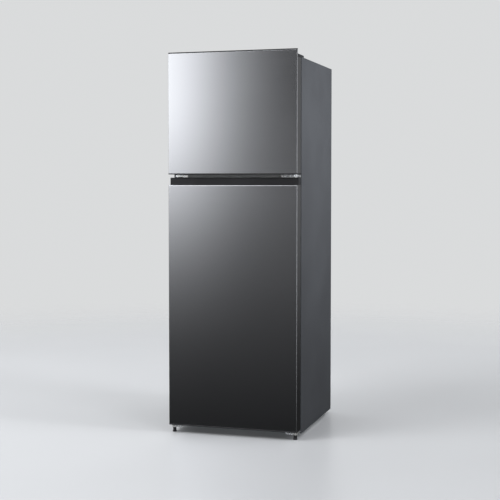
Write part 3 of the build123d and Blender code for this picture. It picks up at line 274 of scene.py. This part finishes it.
def plated_steel():
    """Bright zinc plating with a faint warm and blue bloom."""
    made, n, s = material("plated_steel", metallic=0.75)
    bloom = n.noise(n.space(), 60, 3)
    scuff = n.noise(n.space((40, 300, 40)), 4, 5)
    edge, rounded = n.edges(0.5 * MM)
    colour = n.blend(n.span(bloom, 0.35, 0.65), rgb(0.60, 0.60, 0.58), rgb(0.68, 0.70, 0.74))
    # Painted highlight: the plating's colour is lightened along sharp edges.
    n.put(s["Base Color"], n.blend(n.math("MULTIPLY", edge, 0.6), colour, rgb(0.85, 0.85, 0.86)))
    n.put(s["Roughness"], n.math("MULTIPLY_ADD", scuff, 0.22, 0.16))
    n.put(s["Normal"], n.bump(scuff, 0.06, 0.1 * MM, rounded))
    return made


def soft_rubber(name, dark, light):
    """Matt moulded rubber or vinyl with a dusty bloom."""
    made, n, s = material(name, sheen_weight=0.12, sheen_roughness=0.4)
    bloom = n.noise(n.space(), 35, 4)
    pores = n.noise(n.space(), 2200, 2)
    n.put(s["Base Color"], n.blend(n.span(bloom, 0.3, 0.75), dark, light))
    n.put(s["Roughness"], n.math("MULTIPLY_ADD", bloom, 0.16, 0.46))
    n.put(s["Normal"], n.bump(pores, 0.10, 0.1 * MM))
    return made


def drawn_metal(name, dull, clean, low_rough, axis_scale):
    """Soft metal with drawing lines and slight tarnish."""
    made, n, s = material(name, metallic=1.0)
    tarnish = n.noise(n.space(), 22, 4)
    lines = n.noise(n.space(axis_scale), 5, 3)
    n.put(s["Base Color"], n.blend(n.span(tarnish, 0.35, 0.7), dull, clean))
    n.put(s["Roughness"], n.math("MULTIPLY_ADD", lines, 0.2, low_rough))
    n.put(s["Normal"], n.bump(lines, 0.05, 0.1 * MM))
    return made


def baked_enamel():
    """Thick black enamel of the compressor shell, with soft runs and dust."""
    made, n, s = material("compressor_enamel", coat_weight=0.6, coat_roughness=0.12)
    runs = n.noise(n.space((60, 60, 12)), 1.2, 2)
    dust = n.noise(n.space(), 150, 5)
    colour = n.blend(n.span(dust, 0.5, 0.85), rgb(0.012, 0.012, 0.013), rgb(0.055, 0.053, 0.05))
    n.put(s["Base Color"], colour)
    n.put(s["Roughness"], n.span(dust, 0.4, 0.8, 0.22, 0.5))
    n.put(s["Normal"], n.bump(runs, 0.12, 1.2 * MM))
    return made


def lamp_lens():
    """Frosted ribbed lens over the compartment lamp, which glows."""
    made, n, s = material("lamp_lens", transmission_weight=0.25, ior=1.49, emission_strength=2.2)
    wave = n.add("ShaderNodeTexWave", wave_type="BANDS", bands_direction="X")
    wave.inputs["Scale"].default_value = 90
    n.put(wave.inputs["Vector"], n.space())
    soft = n.noise(n.space(), 30, 2)
    n.put(s["Base Color"], n.blend(soft, rgb(0.93, 0.93, 0.90), rgb(0.97, 0.97, 0.95)))
    glow = n.blend(n.span(wave.outputs[1], 0, 1, 0.0, 0.3), rgb(1.0, 0.96, 0.88), rgb(1, 1, 1))
    n.put(s["Emission Color"], glow)
    n.put(s["Roughness"], n.math("MULTIPLY_ADD", soft, 0.1, 0.4))
    n.put(s["Normal"], n.bump(wave.outputs[1], 0.25, 0.5 * MM))
    return made


def insulation_foam():
    """Poured polyurethane foam: cells and a yellow skin."""
    made, n, s = material("foam")
    cells = n.cells(n.space(), 380)
    patch = n.noise(n.space(), 12, 4)
    n.put(s["Base Color"], n.blend(n.span(patch, 0.3, 0.7), rgb(0.70, 0.58, 0.30), rgb(0.82, 0.72, 0.44)))
    n.put(s["Roughness"], n.math("MULTIPLY_ADD", cells, 0.1, 0.82))
    n.put(s["Normal"], n.bump(cells, 0.5, 0.6 * MM))
    return made


def make_materials():
    """One material for each slot, by the slot's name."""
    return {
        "door_steel": brushed_door_steel(),
        "cabinet_paint": textured_paint("cabinet_paint", rgb(0.0325, 0.0345, 0.0385),
                                        rgb(0.0385, 0.041, 0.0455)),
        "mullion_steel": textured_paint("mullion_steel", rgb(0.42, 0.425, 0.43), rgb(0.48, 0.485, 0.49),
                                        0.34),
        "galvanised_sheet": galvanised(),
        "plated_steel": plated_steel(),
        "black_plastic": moulded_plastic("black_plastic", rgb(0.009, 0.009, 0.010),
                                         rgb(0.013, 0.013, 0.0145), 0.4, gloss=0.22),
        "grey_plastic": moulded_plastic("grey_plastic", rgb(0.34, 0.345, 0.35), rgb(0.40, 0.405, 0.41)),
        "white_trim": moulded_plastic("white_trim", rgb(0.55, 0.565, 0.58), rgb(0.60, 0.61, 0.625),
                                      0.34, grain_scale=900, strength=0.06),
        "liner_plastic": liner_plastic("liner_plastic", rgb(0.60, 0.615, 0.63)),
        "clear_plastic": clear_moulding("clear_plastic", rgb(0.88, 0.94, 0.975), 0.05),
        "drawer_plastic": clear_moulding("drawer_plastic", rgb(0.84, 0.92, 0.965), 0.13, 0.82),
        "lamp_lens": lamp_lens(),
        "shelf_glass": float_glass(),
        "seal_rubber": soft_rubber("seal_rubber", rgb(0.022, 0.022, 0.024), rgb(0.040, 0.040, 0.043)),
        "mount_rubber": soft_rubber("mount_rubber", rgb(0.012, 0.012, 0.012), rgb(0.03, 0.03, 0.03)),
        "foam": insulation_foam(),
        "fin_aluminium": drawn_metal("fin_aluminium", rgb(0.62, 0.63, 0.64), rgb(0.80, 0.81, 0.82),
                                     0.22, (8, 200, 8)),
        "copper": drawn_metal("copper", rgb(0.42, 0.20, 0.12), rgb(0.76, 0.40, 0.26), 0.18, (60, 60, 14)),
        "compressor_enamel": baked_enamel(),
    }


def dress_nodes(materials):
    """Gives each CAD node the material of its slot."""
    for part in frame["record"]["subparts"]:
        node = frame["nodes"][part["node"]]
        node.data.materials.clear()
        node.data.materials.append(materials[part["material_slot"]])


# ---------------------------------------------------------------- door seals
SEAL_WIDTH, SEAL_CORNER = 16 * MM, 12 * MM


def seal_profile():
    """Section of a magnetic seal: (across the seal, from the door towards the cabinet), both from 0 to 1.

    From the door outwards it has a base, a fold, a pinch and a head with a flat magnet face. The inner half
    mirrors the outer one.
    """
    base = [(0.90, 0.00), (0.97, 0.07), (0.97, 0.17), (0.90, 0.23), (0.74, 0.27), (0.72, 0.33)]
    fold = [(0.80, 0.38), (0.96, 0.43), (1.00, 0.50), (0.96, 0.57), (0.82, 0.61)]
    head = [(0.78, 0.66), (0.86, 0.72), (0.98, 0.78), (1.00, 0.88), (0.95, 0.97), (0.86, 1.00)]
    outer = base + fold + head
    return outer + [(1 - across, along) for across, along in reversed(outer)]


def rounded_loop(half_width, low, high, radius, steps=7):
    """Points and outward directions of a rounded rectangle in X and Z."""
    corners = ((1, 1), (-1, 1), (-1, -1), (1, -1))
    points = []
    for index, (sx, sz) in enumerate(corners):
        centre_x = sx * (half_width - radius)
        centre_z = (high - radius) if sz > 0 else (low + radius)
        for k in range(steps + 1):
            turn = math.radians(90 * index + 90 * k / steps)
            out = (math.cos(turn), math.sin(turn))
            points.append((centre_x + radius * out[0], centre_z + radius * out[1], out))
    return points


def seal(node, body, made):
    """A soft folded seal in the place of the plain CAD ring."""
    low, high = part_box(node)
    loop = rounded_loop(high.x, low.z, high.z, SEAL_CORNER)
    profile = seal_profile()
    mesh = bmesh.new()
    rings = []
    for x, z, out in loop:
        ring = []
        for across, along in profile:
            inward = (1 - across) * SEAL_WIDTH
            place = (x - out[0] * inward, low.y + along * (high.y - low.y), z - out[1] * inward)
            ring.append(mesh.verts.new(place))
        rings.append(ring)
    count = len(profile)
    for a, b in zip(rings, rings[1:] + rings[:1]):
        for k in range(count):
            mesh.faces.new((a[k], a[(k + 1) % count], b[(k + 1) % count], b[k]))
    bmesh.ops.recalc_face_normals(mesh, faces=mesh.faces)
    data = bpy.data.meshes.new(f"{node}_soft")
    mesh.to_mesh(data)
    mesh.free()
    data.shade_smooth()
    piece = bpy.data.objects.new(f"{node}_soft", data)
    bpy.context.scene.collection.objects.link(piece)
    data.materials.append(made)
    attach(piece, body)
    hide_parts(node)
    return piece


# ---------------------------------------------------------------- studio
FLOOR_RADIUS, FLOOR_SIDES = 6.0, 96
FLOOR_SOLID, FLOOR_GONE = 2.2, 5.5  # distances from the object between which the floor melts away


def floor_material():
    """Pale studio floor that melts into the backdrop with distance."""
    made, n, s = material("studio_floor", specular_ior_level=0.35)
    mottled = n.noise(n.space(), 1.4, 3)
    n.put(s["Base Color"], n.blend(mottled, rgb(0.34, 0.345, 0.355), rgb(0.37, 0.375, 0.385)))
    n.put(s["Roughness"], n.math("MULTIPLY_ADD", mottled, 0.05, 0.30))
    length = n.add("ShaderNodeVectorMath", operation="LENGTH")
    n.put(length.inputs[0], n.space())
    n.put(s["Alpha"], n.span(length.outputs["Value"], FLOOR_SOLID, FLOOR_GONE, 1.0, 0.0))
    return made


def studio_floor():
    """Round floor under the object, which the doors do not mirror."""
    mesh = bmesh.new()
    bmesh.ops.create_circle(mesh, cap_ends=True, segments=FLOOR_SIDES, radius=FLOOR_RADIUS)
    data = bpy.data.meshes.new("studio_floor")
    mesh.to_mesh(data)
    mesh.free()
    floor = bpy.data.objects.new("studio_floor", data)
    bpy.context.scene.collection.objects.link(floor)
    data.materials.append(floor_material())
    floor.visible_glossy = False


# Bearings are degrees from straight ahead of the doors, positive to the left. Heights are degrees above the
# horizon. A pair is the stretch over which something comes or goes.
BOX_EDGE, BOX_SOFT = 21.8, 1.9  # bearing of the softbox's right edge, and how softly it fades
BOX_FOOT, BOX_RISE = 4.5, 4.3  # height of its lower edge, and how softly that fades
BOX_LEFT, BOX_TOP, BOX_LEVEL = (60, 85), (40, 65), 3.9
FRONT_TOP, FRONT_FADE = 1.0, 6.6  # height below which the dim wall ahead of the doors fades, and how softly
FRONT_DIMS, FRONT_LEVEL, FRONT_HIGH_LEVEL, FRONT_BASE = (-1, 7), 0.232, 0.07, 0.013
FRONT_GROUND, FRONT_GROUND_LEVEL = (-30, -16), 0.35  # the floor ahead, which shows in the doors from above
STRIP_BEARING, STRIP_WIDTH = -52.0, 9.0  # upright strip light at the right front
STRIP_FOOT, STRIP_LEVEL = (-16, -2), 3.0
BACK_FOOT, BACK_LEVEL, BACK_BASE = (-12, 1), 0.17, 0.03  # the room behind the object
BACK_GROUND, BACK_GROUND_LEVEL = (-34, -16), 0.25
NOTCH_BEARING, NOTCH_WIDTH, REAR_LEVEL = -163.0, 18.0, 0.5  # the wall behind gets this more, save at a notch
ROOM_TURN = (-0.35, 0.25)  # where the front of the room turns into the back, as the direction's Y
CEILING, CEILING_LEVEL = (30, 60), 1.6
LIGHT_TINT, BACKDROP = rgb(0.97, 0.985, 1.0), rgb(0.70, 0.71, 0.715)


def bell(n, value, centre, width):
    """1 at the centre, falling off like a bell curve on both sides."""
    off = n.math("SUBTRACT", value, centre)
    return n.math("EXPONENT", n.math("MULTIPLY", n.math("MULTIPLY", off, off), -0.5 / width ** 2))


def shoulder(n, value, centre, width):
    """1 above the centre, falling off like a bell curve below it."""
    return bell(n, n.math("MINIMUM", value, centre), centre, width)


def front_of_room(n, bearing, height):
    """Dim wall, strip light and floor on the door side."""
    wall = n.math("MULTIPLY", shoulder(n, height, FRONT_TOP, FRONT_FADE),
                  n.span(height, *FRONT_DIMS, FRONT_LEVEL, FRONT_HIGH_LEVEL))
    wall = n.math("ADD", wall, FRONT_BASE)
    strip = n.math("MULTIPLY", bell(n, bearing, STRIP_BEARING, STRIP_WIDTH), n.span(height, *STRIP_FOOT))
    lit = n.math("MULTIPLY_ADD", strip, STRIP_LEVEL, wall)
    return n.math("ADD", lit, n.span(height, *FRONT_GROUND, FRONT_GROUND_LEVEL, 0.0))


def back_of_room(n, bearing, height):
    """Wall and floor behind the object."""
    around = n.math("SUBTRACT", 1.0, bell(n, bearing, NOTCH_BEARING, NOTCH_WIDTH))
    level = n.math("MULTIPLY_ADD", around, REAR_LEVEL, BACK_LEVEL)
    wall = n.math("MULTIPLY_ADD", n.span(height, *BACK_FOOT), level, BACK_BASE)
    return n.math("ADD", wall, n.span(height, *BACK_GROUND, BACK_GROUND_LEVEL, 0.0))


def softbox(n, bearing, height):
    """Large softbox at the left front, with a soft right edge and foot."""
    lit = n.math("MULTIPLY", shoulder(n, bearing, BOX_EDGE, BOX_SOFT),
                 shoulder(n, height, BOX_FOOT, BOX_RISE))
    lit = n.math("MULTIPLY", lit, n.span(bearing, *BOX_LEFT, 1, 0))
    return n.math("MULTIPLY", lit, n.span(height, *BOX_TOP, 1, 0))


def studio_world():
    """Pale backdrop for the camera, and a graded studio round the object for its light and reflections."""
    world = bpy.data.worlds.new("studio")
    bpy.context.scene.world = world
    world.use_nodes = True
    n = Nodes(world.node_tree)
    split = n.add("ShaderNodeSeparateXYZ")
    n.put(split.inputs[0], n.add("ShaderNodeTexCoord").outputs["Generated"])
    x, y, z = split.outputs
    degrees = 180 / math.pi
    left, ahead = n.math("MULTIPLY", x, -1.0), n.math("MULTIPLY", y, -1.0)
    bearing = n.math("MULTIPLY", n.math("ARCTAN2", left, ahead), degrees)
    height = n.math("MULTIPLY", n.math("ARCSINE", z), degrees)

    room = n.add("ShaderNodeMix", data_type="FLOAT")
    n.put(room.inputs[0], n.span(y, *ROOM_TURN))
    n.put(room.inputs[2], front_of_room(n, bearing, height))
    n.put(room.inputs[3], back_of_room(n, bearing, height))
    total = n.math("MULTIPLY_ADD", softbox(n, bearing, height), BOX_LEVEL, room.outputs[0])
    total = n.math("ADD", total, n.span(height, *CEILING, 0.0, CEILING_LEVEL))

    lit = n.add("ShaderNodeBackground")
    lit.inputs["Color"].default_value = LIGHT_TINT
    n.put(lit.inputs["Strength"], total)
    seen = n.add("ShaderNodeBackground")
    seen.inputs["Color"].default_value = BACKDROP
    seen.inputs["Strength"].default_value = 1.0
    pick = n.add("ShaderNodeMixShader")
    n.put(pick.inputs[0], n.add("ShaderNodeLightPath").outputs["Is Camera Ray"])
    n.put(pick.inputs[1], lit.outputs[0])
    n.put(pick.inputs[2], seen.outputs[0])
    n.put(n.add("ShaderNodeOutputWorld").inputs["Surface"], pick.outputs[0])


def area_light(name, place, target, size, power, tint=(1, 1, 1), spread=180):
    """Rectangular lamp aimed at a point, left out of reflections. The spread is in degrees."""
    data = bpy.data.lights.new(name, "AREA")
    data.shape = "RECTANGLE"
    data.size, data.size_y = size
    data.energy = power
    data.color = tint
    data.spread = math.radians(spread)
    light = bpy.data.objects.new(name, data)
    light.location = place
    light.rotation_euler = (Vector(target) - Vector(place)).to_track_quat("-Z", "Y").to_euler()
    light.visible_glossy = False
    bpy.context.scene.collection.objects.link(light)


def studio_lights():
    area_light("key", place=(-2.6, -2.6, 3.2), target=(0, 0, 0.8), size=(1.8, 1.8), power=90)
    area_light("side", place=(2.9, -0.3, 2.2), target=(0.3, 0.05, 1.38), size=(0.8, 0.8), power=19,
               tint=(0.97, 0.98, 1.0), spread=56)
    area_light("kicker", place=(-0.3, -2.4, 0.35), target=(0.0, -0.3, 0.02), size=(1.6, 0.3), power=5)


# ---------------------------------------------------------------- camera
CAMERA_PLACE, CAMERA_TILT, CAMERA_TURN = (1.538, -5.030, 1.136), -2.627, 17.17
CAMERA_LENS, CAMERA_SENSOR, CAMERA_SHIFT = 81.144, 36.0, -0.036


def studio_camera():
    """Stands to the right of the doors at chest height, with a long lens."""
    data = bpy.data.cameras.new("camera")
    data.sensor_width = CAMERA_SENSOR
    data.lens = CAMERA_LENS
    data.shift_y = CAMERA_SHIFT
    camera = bpy.data.objects.new("camera", data)
    camera.location = CAMERA_PLACE
    camera.rotation_euler = (math.radians(90 + CAMERA_TILT), 0, math.radians(CAMERA_TURN))
    bpy.context.scene.collection.objects.link(camera)
    bpy.context.scene.camera = camera


# ---------------------------------------------------------------- build
made_materials = make_materials()
dress_nodes(made_materials)
for door in ("freezer_door", "fridge_door"):
    seal(f"{door}_gasket", door, made_materials["seal_rubber"])
studio_floor()
studio_world()
studio_lights()
studio_camera()
bpy.context.scene.view_settings.view_transform = "Standard"
